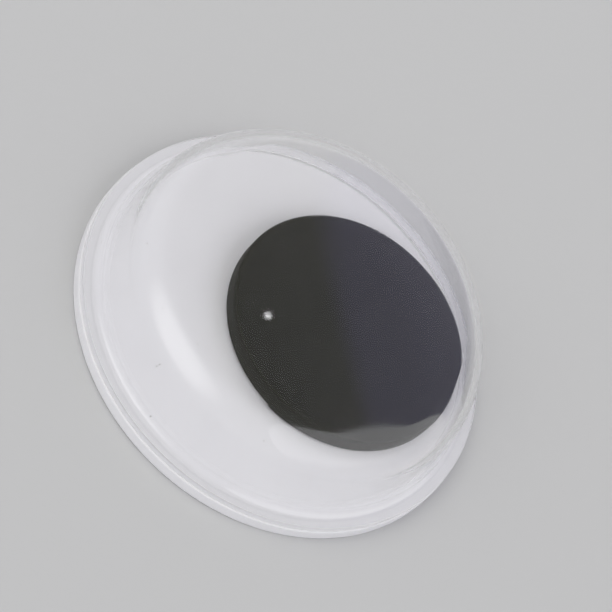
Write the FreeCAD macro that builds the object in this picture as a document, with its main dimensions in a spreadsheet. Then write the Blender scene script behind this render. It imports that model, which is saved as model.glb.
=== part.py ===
# Googly eye, 15 mm: a white back plate, a loose black pupil disc and a clear formed dome over both.
# Lengths are in millimetres and angles in degrees. +Z points out of the eye's face, and the origin is
# the centre of the back. At rest the pupil leans on the +X side of the chamber wall.

import FreeCAD
import Part
import Sketcher
import math
import os

os.makedirs("parts", exist_ok=True)
doc = FreeCAD.newDocument("googly_eye")

# Driving sizes: alias, value and what it measures
SIZES = [
    ("eye_diameter", 15.0, "across the back plate"),
    ("plate_thickness", 0.5, "back plate, face to face"),
    ("plate_edge_break", 0.08, "chamfer round the back plate's two edges"),
    ("rim_setback", 0.05, "the dome's trimmed rim stands this far inside the plate's edge"),
    ("flange_width", 0.3, "flat ring of the dome that is bonded to the plate"),
    ("film_thickness", 0.25, "clear film of the dome, the same all over"),
    ("base_radius", 0.2, "outer fillet between the flange and the side wall"),
    ("wall_draft", 11.0, "lean of the side wall towards the axis, from upright"),
    ("shoulder_radius", 1.8, "outer rounding between the side wall and the crown"),
    ("crown_radius", 17.0, "outer sphere of the crown"),
    ("dome_height", 4.2, "from the plate's face to the outside of the crown"),
    ("pupil_diameter", 8.7, "across the pupil disc"),
    ("pupil_thickness", 0.7, "pupil disc, face to face"),
    ("pupil_edge_break", 0.1, "chamfer round the pupil's two edges"),
    ("pupil_float", 0.05, "running clearance under the pupil"),
    ("pupil_wall_gap", 0.06, "running clearance between the pupil and the side wall"),
]

# The numbers by which a sketch's constraints name the places on a curve, its origin and its axis
START, END, CENTRE = 1, 2, 3
ORIGIN, UPRIGHT_AXIS = -1, -2
FULL_TURN = 360


def fill_sheet():
    """Writes the driving sizes to the sheet, one row each."""
    sheet = doc.addObject("Spreadsheet::Sheet", "sheet")
    for row, (alias, value, meaning) in enumerate(SIZES, start=1):
        sheet.set(f"A{row}", alias)
        sheet.set(f"B{row}", str(value))
        sheet.set(f"C{row}", meaning)
        sheet.setAlias(f"B{row}", alias)
    doc.recompute()
    return sheet


def new_body(name):
    body = doc.addObject("PartDesign::Body", name)
    body.Label = name
    return body


def new_sketch(body, name, role):
    """A sketch flat on the body's own origin plane of that role."""
    sketch = body.newObject("Sketcher::SketchObject", name)
    planes = [plane for plane in body.Origin.OriginFeatures if plane.Role == role]
    sketch.AttachmentSupport = [(planes[0], "")]
    sketch.MapMode = "FlatFace"
    return sketch


def drive(sketch, name, expression, *constraint):
    """Adds a dimension to the sketch and binds it to the sheet."""
    index = sketch.addConstraint(Sketcher.Constraint(*constraint))
    sketch.renameConstraint(index, name)
    sketch.setExpression(f"Constraints.{name}", expression)


def disc(name, diameter, thickness, edge_break):
    """A flat round disc with a small chamfer round both edges, sized by three aliases of the sheet."""
    body = new_body(name)
    outline = new_sketch(body, name + "_outline", "XY_Plane")
    radius = sheet.get(diameter) / 2
    circle = outline.addGeometry(Part.Circle(FreeCAD.Vector(), FreeCAD.Vector(0, 0, 1), radius))
    outline.addConstraint(Sketcher.Constraint("Coincident", circle, CENTRE, ORIGIN, START))
    drive(outline, "radius", f"sheet.{diameter} / 2", "Radius", circle, radius)

    blank = body.newObject("PartDesign::Pad", name + "_blank")
    blank.Profile = outline
    blank.setExpression("Length", f"sheet.{thickness}")
    doc.recompute()

    broken = body.newObject("PartDesign::Chamfer", name + "_edges")
    round_edges = [
        f"Edge{number}"
        for number, edge in enumerate(blank.Shape.Edges, start=1)
        if isinstance(edge.Curve, Part.Circle)
    ]
    broken.Base = (blank, round_edges)
    broken.setExpression("Size", f"sheet.{edge_break}")
    body.Tip = broken
    return body


def along(angle, length=1.0):
    """The point at that length from the sketch's origin, in the direction of the angle in radians."""
    return FreeCAD.Vector(length * math.cos(angle), length * math.sin(angle), 0)


def arc(centre, radius, start, end):
    circle = Part.Circle(centre, FreeCAD.Vector(0, 0, 1), radius)
    return Part.ArcOfCircle(circle, start, end)


def dome_section():
    """Half section of the film, as drawn: twelve curves, from the flange's underside round the rim,
    up the outside to the crown, and back down the inside."""
    film = sheet.film_thickness
    draft = math.radians(sheet.wall_draft)
    upright = math.pi / 2
    rim = sheet.eye_diameter / 2 - sheet.rim_setback
    face = sheet.plate_thickness
    crown_inside = sheet.crown_radius - film

    base = FreeCAD.Vector(rim - sheet.flange_width, face + film + sheet.base_radius, 0)
    crown = FreeCAD.Vector(0, face + sheet.dome_height - sheet.crown_radius, 0)

    # The shoulder's centre lies on a line beside the wall, where its circle meets the crown's
    outward = along(draft)
    upward = along(draft + upright)
    beside = base - outward * (sheet.base_radius + sheet.shoulder_radius)
    reach = sheet.crown_radius - sheet.shoulder_radius
    run = (beside - crown).dot(upward)
    gap = (beside - crown).dot(outward)
    shoulder = beside + upward * (math.sqrt(reach**2 - gap**2) - run)
    meeting = math.atan2(shoulder.y - crown.y, shoulder.x - crown.x)

    def wall(offset):
        low = base - outward * (sheet.base_radius + offset)
        high = shoulder + outward * (sheet.shoulder_radius - offset)
        return Part.LineSegment(low, high)

    def level(height):
        return FreeCAD.Vector(base.x, height, 0), FreeCAD.Vector(rim, height, 0)

    under_in, under_out = level(face)
    over_in, over_out = level(face + film)
    bottom_turn = math.pi + draft
    bottom_end = math.pi + upright
    return [
        Part.LineSegment(under_in, under_out),
        Part.LineSegment(under_out, over_out),
        Part.LineSegment(over_out, over_in),
        arc(base, sheet.base_radius, bottom_turn, bottom_end),
        wall(0),
        arc(shoulder, sheet.shoulder_radius, draft, meeting),
        arc(crown, sheet.crown_radius, meeting, upright),
        Part.LineSegment(crown + along(upright, sheet.crown_radius), crown + along(upright, crown_inside)),
        arc(crown, crown_inside, meeting, upright),
        arc(shoulder, sheet.shoulder_radius - film, draft, meeting),
        wall(film),
        arc(base, sheet.base_radius + film, bottom_turn, bottom_end),
    ]


def join_dome_section(sketch, curves):
    """Joins the twelve curves, so that the section stays closed and smooth when a size changes."""
    (under, rim, over, base_out, wall_out, shoulder_out, crown_out, apex, crown_in, shoulder_in,
     wall_in, base_in) = curves
    relations = [
        ("Horizontal", under),
        ("Vertical", rim),
        ("Horizontal", over),
        ("Vertical", apex),
        ("Coincident", under, END, rim, START),
        ("Coincident", rim, END, over, START),
        ("Tangent", over, END, base_out, END),
        ("Tangent", base_out, START, wall_out, START),
        ("Tangent", wall_out, END, shoulder_out, START),
        ("Tangent", shoulder_out, END, crown_out, START),
        ("Coincident", crown_out, END, apex, START),
        ("Coincident", apex, END, crown_in, END),
        ("Tangent", crown_in, START, shoulder_in, END),
        ("Tangent", shoulder_in, START, wall_in, END),
        ("Tangent", wall_in, START, base_in, START),
        ("Tangent", base_in, END, under, START),
        ("Coincident", base_in, CENTRE, base_out, CENTRE),
        ("Coincident", shoulder_in, CENTRE, shoulder_out, CENTRE),
        ("Coincident", crown_in, CENTRE, crown_out, CENTRE),
        ("PointOnObject", crown_out, CENTRE, UPRIGHT_AXIS),
        ("PointOnObject", crown_out, END, UPRIGHT_AXIS),
    ]
    for relation in relations:
        sketch.addConstraint(Sketcher.Constraint(*relation))


def size_dome_section(sketch, curves):
    """Gives the joined section its sizes."""
    under, rim, over, base_out, wall_out, shoulder_out, crown_out, apex = curves[:8]
    rim_reach = sheet.eye_diameter / 2 - sheet.rim_setback
    crown_level = sheet.plate_thickness + sheet.dome_height
    lean = math.pi / 2 + math.radians(sheet.wall_draft)
    film = sheet.film_thickness
    drive(sketch, "rim_reach", "sheet.eye_diameter / 2 - sheet.rim_setback",
          "DistanceX", ORIGIN, START, rim, START, rim_reach)
    drive(sketch, "seat_level", "sheet.plate_thickness",
          "DistanceY", ORIGIN, START, rim, START, sheet.plate_thickness)
    drive(sketch, "rim_film", "sheet.film_thickness", "DistanceY", rim, START, rim, END, film)
    drive(sketch, "flange", "sheet.flange_width", "DistanceX", over, END, over, START, sheet.flange_width)
    drive(sketch, "base", "sheet.base_radius", "Radius", base_out, sheet.base_radius)
    drive(sketch, "lean", "90 deg + sheet.wall_draft * 1 deg", "Angle", wall_out, lean)
    drive(sketch, "shoulder", "sheet.shoulder_radius", "Radius", shoulder_out, sheet.shoulder_radius)
    drive(sketch, "crown", "sheet.crown_radius", "Radius", crown_out, sheet.crown_radius)
    drive(sketch, "crown_level", "sheet.plate_thickness + sheet.dome_height",
          "DistanceY", ORIGIN, START, crown_out, END, crown_level)
    drive(sketch, "crown_film", "sheet.film_thickness", "DistanceY", apex, END, apex, START, film)


def measure_chamber(sketch, wall_in):
    """Reads off how far the inside of the wall stands from the axis, level with the pupil's top."""
    top = sheet.plate_thickness + sheet.pupil_float + sheet.pupil_thickness
    guess = FreeCAD.Vector(sheet.eye_diameter / 2 - sheet.flange_width, top, 0)
    mark = sketch.addGeometry(Part.Point(guess), True)
    sketch.addConstraint(Sketcher.Constraint("PointOnObject", mark, START, wall_in))
    drive(sketch, "pupil_top", "sheet.plate_thickness + sheet.pupil_float + sheet.pupil_thickness",
          "DistanceY", ORIGIN, START, mark, START, top)
    reach = sketch.addConstraint(Sketcher.Constraint("DistanceX", ORIGIN, START, mark, START, guess.x))
    sketch.setDriving(reach, False)
    sketch.renameConstraint(reach, "chamber_radius")


def back_plate():
    """The white disc that closes the eye and is glued down."""
    return disc("back_plate", "eye_diameter", "plate_thickness", "plate_edge_break")


def clear_dome():
    """One piece of formed film: flat flange, fillet, leaning wall, round shoulder and low crown."""
    body = new_body("clear_dome")
    section = new_sketch(body, "clear_dome_section", "XZ_Plane")
    curves = section.addGeometry(dome_section(), False)
    join_dome_section(section, curves)
    size_dome_section(section, curves)
    measure_chamber(section, curves[10])
    doc.recompute()
    if not section.FullyConstrained:
        raise RuntimeError("the dome's section isn't fully constrained")

    film = body.newObject("PartDesign::Revolution", "clear_dome_film")
    film.Profile = section
    film.ReferenceAxis = (section, ["V_Axis"])
    film.Angle = FULL_TURN
    body.Tip = film
    return body


def pupil():
    """The loose black disc, lying on the plate and leaning on the +X side of the wall."""
    body = disc("pupil", "pupil_diameter", "pupil_thickness", "pupil_edge_break")
    body.setExpression(
        ".Placement.Base.x",
        "clear_dome_section.Constraints.chamber_radius"
        " - (sheet.pupil_wall_gap + sheet.pupil_diameter / 2) * 1 mm",
    )
    body.setExpression(".Placement.Base.z", "sheet.plate_thickness + sheet.pupil_float")
    return body


def check_and_write(bodies):
    """Stops on a failed feature or a bad solid. Writes each sub-part only when all are good."""
    for item in doc.Objects:
        if {"Invalid", "Error"} & set(item.State):
            raise RuntimeError(f"{item.Label} failed: {item.State}")
    for body in bodies:
        shape = body.Shape
        if shape.isNull() or not shape.isValid() or len(shape.Solids) != 1:
            raise RuntimeError(f"{body.Label} isn't one valid solid")
    for body in bodies:
        body.Shape.exportStep(f"parts/{body.Label}.step")
        box = body.Shape.BoundBox
        print(
            f"{body.Label}: {body.Shape.Volume:.2f} mm3, X {box.XMin:.2f} to {box.XMax:.2f},"
            f" Z {box.ZMin:.2f} to {box.ZMax:.2f}"
        )


sheet = fill_sheet()
sub_parts = [back_plate(), clear_dome(), pupil()]
doc.recompute()
check_and_write(sub_parts)
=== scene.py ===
"""Googly eye: the finish of its three pieces, and a small studio to show it in.

Sizes are in metres and angles in radians. +Z points out of the eye's face, and the eye lies on its back.
"""

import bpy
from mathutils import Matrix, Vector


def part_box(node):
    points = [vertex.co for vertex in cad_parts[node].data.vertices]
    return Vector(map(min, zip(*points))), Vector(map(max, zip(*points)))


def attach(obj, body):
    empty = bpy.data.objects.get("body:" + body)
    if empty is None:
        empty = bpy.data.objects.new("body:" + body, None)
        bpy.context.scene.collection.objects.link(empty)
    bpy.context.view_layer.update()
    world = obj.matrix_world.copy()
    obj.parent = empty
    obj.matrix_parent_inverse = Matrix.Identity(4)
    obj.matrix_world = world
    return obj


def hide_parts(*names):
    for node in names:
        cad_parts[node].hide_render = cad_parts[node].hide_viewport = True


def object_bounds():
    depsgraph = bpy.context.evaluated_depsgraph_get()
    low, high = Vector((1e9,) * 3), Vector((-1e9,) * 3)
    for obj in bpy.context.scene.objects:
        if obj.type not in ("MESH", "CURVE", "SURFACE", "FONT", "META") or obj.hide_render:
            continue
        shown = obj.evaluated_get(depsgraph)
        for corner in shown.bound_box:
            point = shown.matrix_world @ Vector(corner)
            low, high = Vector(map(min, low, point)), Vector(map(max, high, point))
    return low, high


bl_info = {
    "name": "Googly Eye",
    "version": (1, 0, 0),
    "blender": (4, 5, 0),
    "location": "View3D > Sidebar > Googly Eye",
    "description": "Builds a craft googly eye with a clear dome, a white back plate and a loose pupil",
    "category": "Add Mesh",
}

import math
from collections import namedtuple

import bmesh
import bpy
from bpy.props import FloatProperty, FloatVectorProperty, IntProperty, PointerProperty
from mathutils import Matrix, Vector
from mathutils.noise import noise as noise_at

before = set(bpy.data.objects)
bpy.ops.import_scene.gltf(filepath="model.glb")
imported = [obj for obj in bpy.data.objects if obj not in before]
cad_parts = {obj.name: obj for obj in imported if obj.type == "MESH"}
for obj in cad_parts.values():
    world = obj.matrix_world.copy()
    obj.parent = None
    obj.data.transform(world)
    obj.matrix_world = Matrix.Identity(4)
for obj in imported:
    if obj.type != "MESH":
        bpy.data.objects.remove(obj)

MM = 0.001
SHELL = "eye_shell"
LOOSE = "loose_pupil"
CAD_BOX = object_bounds()

# Profiles are drawn in the XZ plane, and turned about the eye's axis
AXIS = Vector((0, 0, 1))
DRAWING_NORMAL = Vector((0, -1, 0))
QUARTER = math.pi / 2

# A length under the first is nothing, and vertices nearer to each other than the second are one
TINY = 1e-9
SAME_PLACE = 1e-8

# An edge that turns by more than this looks sharp
SHARP_TURN = math.radians(50)

# A face of the pupil whose normal has less of Z than this belongs to the punched edge
CUT_NORMAL = 0.9

# How often light may bounce or pass on
LIGHT_STEPS = 24

# The floor's radius, how far it lies under the plate, and where it fades out
FLOOR_RADIUS = 0.5
FLOOR_DROP = 0.01 * MM
FADE_START = 0.12
FADE_END = 0.45

# The point that the lamp faces
LIT_POINT = Vector((0, 0, 2 * MM))


class Pen:
    """Draws the wire of a half section, from a first vertex on, with bmesh operators."""

    def __init__(self, mesh, tip):
        self.mesh = mesh
        self.tip = tip

    def line(self, x, z):
        """A straight line to that point."""
        drawn = bmesh.ops.extrude_vert_indiv(self.mesh, verts=[self.tip])
        self.tip = drawn["verts"][0]
        self.tip.co = (x, 0, z)

    def steps(self, x, z, count):
        """A straight line to that point, in equal steps."""
        start = self.tip.co.copy()
        end = Vector((x, 0, z))
        for step in range(1, count + 1):
            point = start.lerp(end, step / count)
            self.line(point.x, point.z)

    def arc(self, x, z, turn, count):
        """An arc about that centre, anticlockwise where the turn is positive."""
        drawn = bmesh.ops.spin(
            self.mesh, geom=[self.tip], cent=(x, 0, z), axis=DRAWING_NORMAL, dvec=(0, 0, 0),
            angle=turn, steps=count, use_merge=False, use_duplicate=False,
        )
        self.tip = drawn["geom_last"][0]


def turn_once(wire, turns):
    """Spins a drawn wire once about the eye's axis, into a closed mesh."""
    poles = [vertex for vertex in wire.verts if abs(vertex.co.x) < TINY]
    for vertex in poles:
        vertex.co.x = 0
    bmesh.ops.spin(
        wire, geom=wire.verts[:] + wire.edges[:], cent=(0, 0, 0), axis=AXIS, dvec=(0, 0, 0),
        angle=2 * math.pi, steps=turns, use_merge=True, use_duplicate=False,
    )
    bmesh.ops.remove_doubles(wire, verts=wire.verts, dist=SAME_PLACE)
    bmesh.ops.dissolve_degenerate(wire, dist=TINY, edges=wire.edges)
    bmesh.ops.recalc_face_normals(wire, faces=wire.faces)


def piece(name, mesh, body):
    """Makes an object of the mesh, at the origin, that rides on the body."""
    for face in mesh.faces:
        face.smooth = True
    for edge in mesh.edges:
        edge.smooth = edge.calc_face_angle(0) < SHARP_TURN
    data = bpy.data.meshes.new(name)
    mesh.to_mesh(data)
    mesh.free()
    made = bpy.data.objects.new(name, data)
    bpy.context.scene.collection.objects.link(made)
    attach(made, body)
    return made


def radius_of(node):
    """The radius of a round node."""
    low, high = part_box(node)
    return (high.x - low.x) / 2


# Shader nodes

def new_material(name):
    """A material whose node tree is still empty."""
    material = bpy.data.materials.new(name)
    material.use_nodes = True
    material.node_tree.nodes.clear()
    return material


def add(tree, kind, inputs=None, **settings):
    """Adds a node. An input that is a socket is linked, and any other is set."""
    node = tree.nodes.new("ShaderNode" + kind)
    for name, value in settings.items():
        setattr(node, name, value)
    for name, value in (inputs or {}).items():
        socket = node.inputs[name]
        if isinstance(value, bpy.types.NodeSocket):
            tree.links.new(value, socket)
        else:
            socket.default_value = value
    return node


def place(tree, scale=(1, 1, 1), turn=0.0):
    """Object coordinates, stretched and turned about the eye's axis."""
    coordinates = add(tree, "TexCoord")
    mapping = add(tree, "Mapping", {
        "Vector": coordinates.outputs["Object"],
        "Rotation": (0, 0, turn),
        "Scale": scale,
    })
    return mapping.outputs["Vector"]


def noise(tree, vector, size, detail=3.0, roughness=0.5):
    """Cloudy noise from 0 to 1, whose patches are about that size."""
    node = add(tree, "TexNoise", {
        "Vector": vector, "Scale": 1 / size, "Detail": detail, "Roughness": roughness,
    })
    return node.outputs["Fac"]


def remap(tree, value, from_low, from_high, to_low, to_high, kind="LINEAR"):
    """Takes a value from one range to another, and holds it at the ends."""
    node = add(tree, "MapRange", {
        "Value": value, "From Min": from_low, "From Max": from_high, "To Min": to_low, "To Max": to_high,
    }, interpolation_type=kind)
    return node.outputs["Result"]


def combine(tree, operation, first, second):
    """Adds, multiplies or compares two numbers."""
    return add(tree, "Math", {0: first, 1: second}, operation=operation).outputs["Value"]


def opaque(colour):
    """A colour setting as the four numbers that a socket takes."""
    return tuple(colour) + (1,)


def blend(tree, factor, first, second):
    """Mixes two colours."""
    node = tree.nodes.new("ShaderNodeMix")
    node.data_type = "RGBA"
    wanted = {"Factor_Float": factor, "A_Color": first, "B_Color": second}
    for socket in node.inputs:
        value = wanted.get(socket.identifier)
        if isinstance(value, bpy.types.NodeSocket):
            tree.links.new(value, socket)
        elif value is not None:
            socket.default_value = value
    return next(socket for socket in node.outputs if socket.identifier == "Result_Color")


def from_axis(tree, vector):
    """How far a point is from the axis through the coordinates' origin."""
    flat = add(tree, "VectorMath", {0: vector, 1: (1, 1, 0)}, operation="MULTIPLY")
    length = add(tree, "VectorMath", {0: flat.outputs["Vector"]}, operation="LENGTH")
    return length.outputs["Value"]


def hairlines(tree, turn, width, length):
    """Straight scratches in one direction, in loose patches: 1 on a line and 0 off it."""
    vector = place(tree, scale=(width / length, 1, width / length), turn=turn)
    lines = remap(tree, noise(tree, vector, width, detail=1.0), 0.65, 0.71, 0, 1)
    patches = remap(tree, noise(tree, place(tree), 2 * length, detail=1.0), 0.45, 0.6, 0, 1)
    return combine(tree, "MULTIPLY", lines, patches)


def specks(tree, size, share):
    """Small round specks of dust of about that size: 1 on a speck. They lie in cells eight times as wide,
    and the share is how many of the cells have one."""
    cells = add(tree, "TexVoronoi", {"Vector": place(tree), "Scale": 1 / (8 * size)})
    near = remap(tree, cells.outputs["Distance"], 0.05, 0.09, 1, 0)
    kept = add(tree, "SeparateColor", {"Color": cells.outputs["Color"]})
    chosen = remap(tree, kept.outputs["Red"], 1 - share, 1 - share + 0.01, 0, 1)
    return combine(tree, "MULTIPLY", near, chosen)


def bump(tree, height, depth, normal=None):
    """A bump that rises by that depth in metres where the height is 1."""
    inputs = {"Height": height, "Distance": depth, "Strength": 1.0}
    if normal is not None:
        inputs["Normal"] = normal
    return add(tree, "Bump", inputs).outputs["Normal"]


def finish_material(material, shader):
    """Gives the material that shader as its surface."""
    tree = material.node_tree
    add(tree, "OutputMaterial", {"Surface": shader.outputs[0]})
    return material


def plastic(tree, colour, roughness, normal):
    """A solid plastic that lets no light through."""
    return add(tree, "BsdfPrincipled", {
        "Base Color": colour, "Roughness": roughness, "Normal": normal, "IOR": 1.5,
    })


def white_sheet(settings, bond_radius, rim_radius):
    """White sheet plastic: a satin skin, a greyer ring under the flange and a cut edge."""
    material = new_material("white_sheet_plastic")
    tree = material.node_tree
    here = place(tree)
    out = from_axis(tree, here)

    cloud = remap(tree, noise(tree, here, 2.6 * MM), 0.35, 0.65, 0, 1)
    colour = blend(tree, cloud, opaque(settings.colour), opaque(settings.shade))

    # The plate's colour is greyer in a ring under the flange, whose inner edge wanders a little
    uneven = combine(tree, "MULTIPLY", noise(tree, here, 0.5 * MM), 0.16 * MM)
    edge = combine(tree, "SUBTRACT", out, uneven)
    under_flange = remap(tree, edge, bond_radius, bond_radius + 0.06 * MM, 0, 1)
    colour = blend(tree, under_flange, colour, opaque(settings.flange_grey))
    colour = blend(tree, specks(tree, 0.05 * MM, 0.1), colour, (0.42, 0.41, 0.4, 1))

    cut = remap(tree, out, rim_radius - 0.05 * MM, rim_radius - 0.01 * MM, 0, 1)
    grain = noise(tree, here, 0.09 * MM, detail=5.0)
    satin = remap(tree, noise(tree, here, 1.1 * MM), 0.3, 0.7, 0.3, 0.4)
    roughness = combine(tree, "ADD", satin, combine(tree, "MULTIPLY", cut, 0.2))
    drawn = noise(tree, place(tree, scale=(1, 1, 0.08)), 0.06 * MM, detail=2.0)
    relief = bump(tree, grain, 0.0012 * MM)
    relief = bump(tree, combine(tree, "MULTIPLY", drawn, cut), 0.012 * MM, relief)
    return finish_material(material, plastic(tree, colour, roughness, relief))


def black_sheet(settings):
    """Gloss black plastic with faint hairlines, uneven gloss and a few specks of dust."""
    material = new_material("black_sheet_plastic")
    tree = material.node_tree
    here = place(tree)
    cloud = remap(tree, noise(tree, here, 1.8 * MM), 0.3, 0.7, 0, 1)
    colour = blend(tree, cloud, opaque(settings.colour), opaque(settings.shade))
    colour = blend(tree, specks(tree, 0.03 * MM, 0.12), colour, (0.2, 0.2, 0.19, 1))

    lines = combine(
        tree, "MAXIMUM",
        hairlines(tree, turn=math.radians(24), width=0.03 * MM, length=2.4 * MM),
        hairlines(tree, turn=math.radians(-51), width=0.025 * MM, length=1.7 * MM),
    )
    uneven = remap(tree, noise(tree, here, 0.9 * MM), 0.3, 0.7, 0.1, 0.2)
    roughness = combine(tree, "ADD", uneven, combine(tree, "MULTIPLY", lines, 0.08))
    relief = bump(tree, noise(tree, here, 0.7 * MM), 0.0025 * MM)
    relief = bump(tree, lines, -0.0002 * MM, relief)
    return finish_material(material, plastic(tree, colour, roughness, relief))


def black_cut(settings):
    """The punched edge of the same sheet, with its roundings: matt, with fine marks that the punch has
    drawn across it."""
    material = new_material("black_cut_edge")
    tree = material.node_tree
    drawn = noise(tree, place(tree, scale=(1, 1, 0.08)), 0.07 * MM, detail=2.0)
    streaks = remap(tree, drawn, 0.35, 0.65, 0, 1)
    colour = blend(tree, streaks, opaque(settings.colour), opaque(settings.shade))
    roughness = remap(tree, drawn, 0.3, 0.7, 0.5, 0.6)
    edge = plastic(tree, colour, roughness, bump(tree, drawn, 0.006 * MM))
    edge.inputs["Specular IOR Level"].default_value = 0.15
    return finish_material(material, edge)


def clear_film(settings, rim_radius):
    """Clear film: a gently wavy gloss, a trace of haze, hairlines, and a frosted cut rim. Lamps shine
    through it to what is inside."""
    material = new_material("clear_film")
    tree = material.node_tree
    here = place(tree)
    out = from_axis(tree, here)
    cut = remap(tree, out, rim_radius - 0.03 * MM, rim_radius - 0.01 * MM, 0, 1)

    lines = combine(
        tree, "MAXIMUM",
        hairlines(tree, turn=math.radians(12), width=0.03 * MM, length=3.0 * MM),
        hairlines(tree, turn=math.radians(71), width=0.03 * MM, length=2.2 * MM),
    )
    gloss = remap(tree, noise(tree, here, 1.5 * MM), 0.3, 0.7, 0.015, 0.05)
    gloss = combine(tree, "ADD", gloss, combine(tree, "MULTIPLY", lines, 0.05))
    gloss = combine(tree, "ADD", gloss, combine(tree, "MULTIPLY", cut, 0.5))
    relief = bump(tree, lines, -0.00006 * MM)

    film = add(tree, "BsdfPrincipled", {
        "Base Color": opaque(settings.tint),
        "Roughness": gloss,
        "Normal": relief,
        "IOR": 1.49,
        "Transmission Weight": 1 - settings.haze,
    })
    passing = add(tree, "BsdfTransparent", {"Color": (0.98, 0.98, 0.983, 1)})
    rays = add(tree, "LightPath")
    shader = film
    for kind in ("Is Diffuse Ray", "Is Shadow Ray"):
        shader = add(tree, "MixShader", {0: rays.outputs[kind], 1: shader.outputs[0], 2: passing.outputs[0]})
    return finish_material(material, shader)


def pale_floor(settings):
    """A plain pale floor that fades into the backdrop far from the eye."""
    material = new_material("pale_floor")
    tree = material.node_tree
    here = place(tree)
    tooth = noise(tree, here, 0.25 * MM, detail=4.0)
    paper = plastic(tree, opaque(settings.floor_colour), 0.7, bump(tree, tooth, 0.004 * MM))
    paper.inputs["Specular IOR Level"].default_value = 0.2
    away = remap(tree, from_axis(tree, here), FADE_START, FADE_END, 0, 1)
    gone = add(tree, "BsdfTransparent")
    faded = add(tree, "MixShader", {0: away, 1: paper.outputs[0], 2: gone.outputs[0]})
    return finish_material(material, faded)


# Settings

class PlateSettings(bpy.types.PropertyGroup):
    edge: FloatProperty(name="Edge rounding", description="Rounding of the two cut edges",
                        default=0.08 * MM, unit="LENGTH", precision=5)
    colour: FloatVectorProperty(name="Colour", description="White of the sheet", subtype="COLOR",
                                default=(0.835, 0.828, 0.865), min=0, max=1)
    shade: FloatVectorProperty(name="Shade", description="Second white, in soft patches", subtype="COLOR",
                               default=(0.815, 0.808, 0.845), min=0, max=1)
    # The grey of the plate's ring under the flange
    flange_grey: FloatVectorProperty(name="Glue ring", description="The plate seen through the bond",
                              subtype="COLOR", default=(0.757, 0.752, 0.785), min=0, max=1)


class DomeSettings(bpy.types.PropertyGroup):
    film: FloatProperty(name="Film", description="Thickness of the clear film",
                        default=0.25 * MM, unit="LENGTH", precision=5)
    flange: FloatProperty(name="Flange", description="Width of the flat bonded ring",
                          default=0.3 * MM, unit="LENGTH", precision=5)
    base: FloatProperty(name="Base radius", description="Fillet between flange and wall",
                        default=0.2 * MM, unit="LENGTH", precision=5)
    draft: FloatProperty(name="Draft", description="Lean of the wall from upright",
                         default=math.radians(11), unit="ROTATION")
    shoulder: FloatProperty(name="Shoulder radius", description="Rounding between wall and crown",
                            default=1.8 * MM, unit="LENGTH", precision=5)
    crown: FloatProperty(name="Crown radius", description="Radius of the low crown",
                         default=17 * MM, unit="LENGTH", precision=5)
    bond: FloatProperty(name="Bond", description="How deep the flange is pressed into its glue on the plate",
                        default=0.004 * MM, unit="LENGTH", precision=6)
    corner: FloatProperty(name="Rim corner", description="Rounding of the trimmed rim's upper corner",
                          default=0.03 * MM, unit="LENGTH", precision=6)
    ripple: FloatProperty(name="Ripple", description="Depth of the film's gentle waves",
                          default=0.009 * MM, unit="LENGTH", precision=6)
    ripple_length: FloatProperty(name="Ripple length", description="From one wave to the next",
                                 default=2.2 * MM, unit="LENGTH", precision=5)
    tint: FloatVectorProperty(name="Tint", description="Colour of the film", subtype="COLOR",
                              default=(0.99, 0.99, 0.995), min=0, max=1)
    haze: FloatProperty(name="Haze", description="Share of light that the film scatters",
                        default=0.004, min=0, max=1, subtype="FACTOR")


class PupilSettings(bpy.types.PropertyGroup):
    edge: FloatProperty(name="Edge rounding", description="Rounding of the two edges",
                        default=0.12 * MM, unit="LENGTH", precision=5)
    colour: FloatVectorProperty(name="Colour", description="Black of the disc", subtype="COLOR",
                                default=(0.006, 0.006, 0.0055), min=0, max=1)
    shade: FloatVectorProperty(name="Shade", description="Second black, in soft patches", subtype="COLOR",
                               default=(0.010, 0.010, 0.0095), min=0, max=1)


class StageSettings(bpy.types.PropertyGroup):
    turns: IntProperty(name="Segments", description="Segments round every turned piece", default=256, min=24)
    floor_colour: FloatVectorProperty(name="Floor", description="Colour of the floor", subtype="COLOR",
                                      default=(0.585, 0.585, 0.595), min=0, max=1)
    azimuth: FloatProperty(name="Azimuth", description="0 looks along +Y and 90 degrees along -X",
                           default=math.radians(-45), unit="ROTATION")
    elevation: FloatProperty(name="Elevation", description="Camera height above the horizon",
                             default=math.radians(50), unit="ROTATION")
    roll: FloatProperty(name="Roll", description="Turn of the camera about its view",
                        default=math.radians(45), unit="ROTATION")
    lens: FloatProperty(name="Lens", description="Focal length in mm", default=250, min=20)
    width: FloatProperty(name="Picture width", description="Width of the picture at the eye",
                         default=20.5 * MM, unit="LENGTH", precision=5)


class EyeSettings(bpy.types.PropertyGroup):
    plate: PointerProperty(type=PlateSettings)
    dome: PointerProperty(type=DomeSettings)
    pupil: PointerProperty(type=PupilSettings)
    stage: PointerProperty(type=StageSettings)


# Pieces

def disc(name, low, high, radius, edge, turns, body):
    """A flat disc from low to high with rounded edges, on the axis."""
    flat = radius - edge
    bevel_steps = 6
    rings = 12
    support = 0.03 * MM
    wire = bmesh.new()
    pen = Pen(wire, wire.verts.new((0, 0, low)))
    pen.steps(flat - support, low, count=rings)
    pen.line(flat, low)
    pen.arc(flat, low + edge, QUARTER, count=bevel_steps)
    pen.steps(radius, high - edge, count=3)
    pen.arc(flat, high - edge, QUARTER, count=bevel_steps)
    pen.line(flat - support, high)
    pen.steps(0, high, count=rings)
    turn_once(wire, turns)
    return piece(name, wire, body)


def shoulder_place(settings, base, top):
    """The shoulder's centre, and the angle at which its arc meets the crown's."""
    outward = Vector((math.cos(settings.draft), 0, math.sin(settings.draft)))
    upward = Vector((-outward.z, 0, outward.x))
    beside = base - outward * (settings.base + settings.shoulder)
    crown = Vector((0, 0, top - settings.crown))
    reach = settings.crown - settings.shoulder
    gap = (beside - crown).dot(outward)
    run = (beside - crown).dot(upward)
    centre = beside + upward * (math.sqrt(reach**2 - gap**2) - run)
    return centre, math.atan2(centre.z - crown.z, centre.x)


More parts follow.
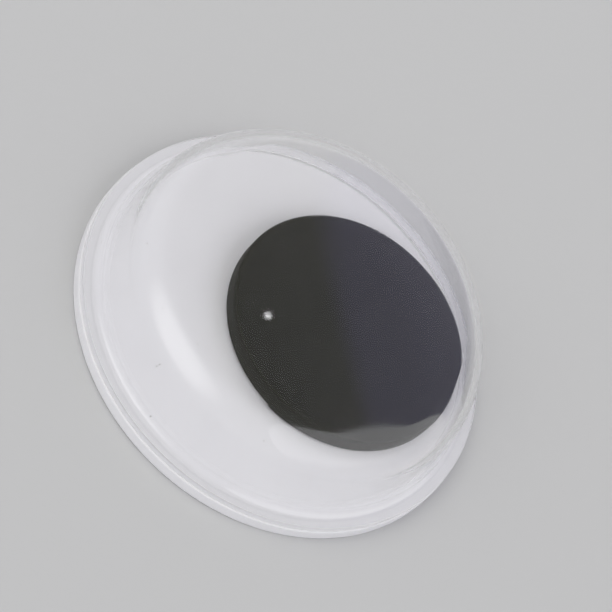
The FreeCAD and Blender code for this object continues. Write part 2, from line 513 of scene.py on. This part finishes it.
def draw_side(pen, settings, base, top, inset):
    """From the flange over the base fillet, wall, shoulder and crown to the axis, inset by that much."""
    shoulder, meeting = shoulder_place(settings, base, top)
    outward = Vector((math.cos(settings.draft), 0, math.sin(settings.draft)))
    wall_top = shoulder + outward * (settings.shoulder - inset)
    pen.arc(base.x, base.z, settings.draft - QUARTER, count=10)
    pen.steps(wall_top.x, wall_top.z, count=6)
    pen.arc(shoulder.x, shoulder.z, meeting - settings.draft, count=28)
    pen.arc(0, top - settings.crown, QUARTER - meeting, count=24)


def ripple(mesh, settings, level):
    """Lets the formed film sink in here and there, by a few microns, from that level upwards."""
    middle = Vector((0, 0, level))
    for vertex in mesh.verts:
        rise = min(max((vertex.co.z - level) / settings.ripple_length, 0), 1)
        sunk = settings.ripple * rise * (1 - noise_at(vertex.co / settings.ripple_length)) / 2
        vertex.co -= (vertex.co - middle).normalized() * sunk


class EYE_OT_back_plate(bpy.types.Operator):
    """Build the white back plate"""

    bl_idname = "googly_eye.back_plate"
    bl_label = "Back Plate"

    def execute(self, context):
        settings = context.scene.googly_eye
        low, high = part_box("back_plate")
        radius = radius_of("back_plate")
        plate = disc("plate_sheet", low.z, high.z, radius, settings.plate.edge, settings.stage.turns, SHELL)
        bond_radius = radius_of("clear_dome") - settings.dome.flange - settings.dome.base
        plate.data.materials.append(white_sheet(settings.plate, bond_radius, radius))
        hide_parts("back_plate")
        return {"FINISHED"}


class EYE_OT_clear_dome(bpy.types.Operator):
    """Build the clear formed dome with its flange"""

    bl_idname = "googly_eye.clear_dome"
    bl_label = "Clear Dome"

    def execute(self, context):
        settings = context.scene.googly_eye.dome
        low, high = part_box("clear_dome")
        rim = radius_of("clear_dome")
        over = low.z + settings.film
        under = low.z - settings.bond
        base = Vector((rim - settings.flange, 0, over + settings.base))

        wire = bmesh.new()
        outside = Pen(wire, wire.verts.new((rim, 0, under)))
        inside = Pen(wire, outside.tip)
        outside.line(rim, over - settings.corner)
        outside.arc(rim - settings.corner, over - settings.corner, QUARTER, count=4)
        outside.line(base.x, over)
        draw_side(outside, settings, base, high.z, 0)
        inside.line(base.x, under)
        inside.line(base.x, low.z)
        draw_side(inside, settings, base, high.z, settings.film)

        turn_once(wire, context.scene.googly_eye.stage.turns)
        ripple(wire, settings, over + settings.base)
        dome = piece("dome_film", wire, SHELL)
        dome.data.materials.append(clear_film(settings, rim))
        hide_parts("clear_dome")
        return {"FINISHED"}


class EYE_OT_pupil(bpy.types.Operator):
    """Build the loose black pupil at its rest place"""

    bl_idname = "googly_eye.pupil"
    bl_label = "Pupil"

    def execute(self, context):
        settings = context.scene.googly_eye
        low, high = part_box("pupil")
        radius = radius_of("pupil")
        middle = Vector(((low.x + high.x) / 2, 0, 0))
        made = disc("pupil_disc", low.z, high.z, radius, settings.pupil.edge, settings.stage.turns, LOOSE)
        made.data.transform(Matrix.Translation(middle))
        made.data.materials.append(black_sheet(settings.pupil))
        made.data.materials.append(black_cut(settings.pupil))
        for face in made.data.polygons:
            face.material_index = int(abs(face.normal.z) < CUT_NORMAL)
        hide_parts("pupil")
        return {"FINISHED"}


# Stage

def aim(made, target, turn=0.0):
    """Points a lamp or camera at the target, turned about its line of sight."""
    made.rotation_mode = "QUATERNION"
    upright = (target - made.location).to_track_quat("-Z", "Y")
    made.rotation_quaternion = upright @ Matrix.Rotation(turn, 4, "Z").to_quaternion()


def softbox(name, azimuth, elevation, distance, size, radiance):
    """An even square panel that faces the eye. The radiance is how bright the panel itself would look,
    but it only lights: what the gloss mirrors is the surroundings."""
    light = bpy.data.lights.new(name, "AREA")
    light.shape = "SQUARE"
    light.size = size
    light.energy = radiance * math.pi * size**2
    made = bpy.data.objects.new(name, light)
    made.visible_camera = made.visible_glossy = made.visible_transmission = False
    bpy.context.scene.collection.objects.link(made)
    made.location = direction(azimuth, elevation) * distance
    aim(made, LIT_POINT)


def direction(azimuth, elevation):
    """Unit vector from the eye, in degrees: azimuth 0 is the camera's side, 90 is to its right."""
    turn = math.radians(azimuth) + bpy.context.scene.googly_eye.stage.azimuth
    level = math.cos(math.radians(elevation))
    return Vector((math.sin(turn) * level, -math.cos(turn) * level, math.sin(math.radians(elevation))))


# A part of the surroundings, all in degrees: its middle, as direction() takes it, how far out from there
# its colour is full, and where it ends
Zone = namedtuple("Zone", "azimuth elevation full end colour")

# A later zone covers an earlier one
ZONES = (
    # The soft highlight on the white ring
    Zone(325, 28, 8, 38, (2.10, 2.10, 2.08, 1)),
    # The warm half of the pupil
    Zone(192, 64, 22, 62, (0.20, 0.20, 0.155, 1)),
    # The cool half of the pupil
    Zone(149, 18, 36, 45, (0.33, 0.32, 0.43, 1)),
    # The pale strip along the pupil's edge
    Zone(85, 25, 42, 44, (1.38, 1.38, 1.39, 1)),
    # All below the horizon, and a little above it
    Zone(0, -90, 90, 105, (0.78, 0.78, 0.79, 1)),
)
BETWEEN_ZONES = (0.67, 0.67, 0.66, 1)

# The small glint on the pupil
SPARK = Zone(193, 71, 0.6, 0.95, (7.5, 7.5, 7.5, 1))


def within(tree, ray, zone):
    """1 where the ray meets the full part of the zone, and 0 beyond its end."""
    middle = direction(zone.azimuth, zone.elevation)
    near = add(tree, "VectorMath", {0: ray, 1: middle}, operation="DOT_PRODUCT")
    return remap(tree, near.outputs["Value"], math.cos(math.radians(zone.end)),
                 math.cos(math.radians(zone.full)), 0, 1, "SMOOTHSTEP")


def sky():
    """Pale studio surroundings with soft lighter and darker zones, which the gloss mirrors."""
    world = bpy.data.worlds.new("soft_studio")
    world.use_nodes = True
    world.cycles.sampling_method = "NONE"
    tree = world.node_tree
    tree.nodes.clear()
    ray = add(tree, "TexCoord").outputs["Generated"]
    colour = BETWEEN_ZONES
    for zone in ZONES:
        colour = blend(tree, within(tree, ray, zone), colour, zone.colour)
    mirrored = add(tree, "LightPath").outputs["Is Glossy Ray"]
    spark = combine(tree, "MULTIPLY", within(tree, ray, SPARK), mirrored)
    colour = blend(tree, spark, colour, SPARK.colour)
    background = add(tree, "Background", {"Color": colour, "Strength": 1.0})
    add(tree, "OutputWorld", {"Surface": background.outputs[0]})
    bpy.context.scene.world = world


class EYE_OT_stage(bpy.types.Operator):
    """Build the floor, the lights and the camera"""

    bl_idname = "googly_eye.stage"
    bl_label = "Stage"

    def execute(self, context):
        settings = context.scene.googly_eye.stage
        self.floor(settings)
        softbox("key", azimuth=250, elevation=55, distance=0.3, size=0.28, radiance=0.95)
        self.camera(context, settings)
        sky()
        self.light_paths(context.scene.cycles)
        context.scene.view_settings.view_transform = "Standard"
        return {"FINISHED"}

    def light_paths(self, cycles):
        """Follows light that runs along inside the film until it comes out, which leaves no dark lines."""
        cycles.max_bounces = cycles.glossy_bounces = cycles.transmission_bounces = LIGHT_STEPS

    def floor(self, settings):
        """A round floor, just under the plate."""
        mesh = bmesh.new()
        bmesh.ops.create_circle(mesh, cap_ends=True, segments=128, radius=FLOOR_RADIUS)
        bmesh.ops.translate(mesh, verts=mesh.verts, vec=(0, 0, -FLOOR_DROP))
        data = bpy.data.meshes.new("floor")
        mesh.to_mesh(data)
        mesh.free()
        floor = bpy.data.objects.new("floor", data)
        floor.data.materials.append(pale_floor(settings))
        bpy.context.scene.collection.objects.link(floor)

    def camera(self, context, settings):
        """Looks at the middle of the eye, from as far as the picture's width asks."""
        data = bpy.data.cameras.new("camera")
        data.lens = settings.lens
        data.clip_start = 0.005
        made = bpy.data.objects.new("camera", data)
        context.scene.collection.objects.link(made)
        low, high = CAD_BOX
        target = (low + high) / 2
        distance = settings.width * settings.lens / data.sensor_width
        made.location = target + direction(0, math.degrees(settings.elevation)) * distance
        aim(made, target, settings.roll)
        context.scene.camera = made


class EYE_PT_panel(bpy.types.Panel):
    """Lists the pieces of the eye"""

    bl_label = "Googly Eye"
    bl_space_type = "VIEW_3D"
    bl_region_type = "UI"
    bl_category = "Googly Eye"

    def draw(self, context):
        for operator in PIECES + (EYE_OT_stage,):
            self.layout.operator(operator.bl_idname)
        for name in ("plate", "dome", "pupil", "stage"):
            box = self.layout.box()
            group = getattr(context.scene.googly_eye, name)
            for prop in group.__annotations__:
                box.prop(group, prop)


PIECES = (EYE_OT_back_plate, EYE_OT_clear_dome, EYE_OT_pupil)
CLASSES = (PlateSettings, DomeSettings, PupilSettings, StageSettings, EyeSettings) + PIECES + (
    EYE_OT_stage, EYE_PT_panel,
)


def register():
    for cls in CLASSES:
        bpy.utils.register_class(cls)
    bpy.types.Scene.googly_eye = PointerProperty(type=EyeSettings)


def unregister():
    del bpy.types.Scene.googly_eye
    for cls in reversed(CLASSES):
        bpy.utils.unregister_class(cls)


def main():
    register()
    bpy.ops.googly_eye.stage()
    bpy.ops.googly_eye.back_plate()
    bpy.ops.googly_eye.clear_dome()
    bpy.ops.googly_eye.pupil()


if __name__ == "__main__":
    main()
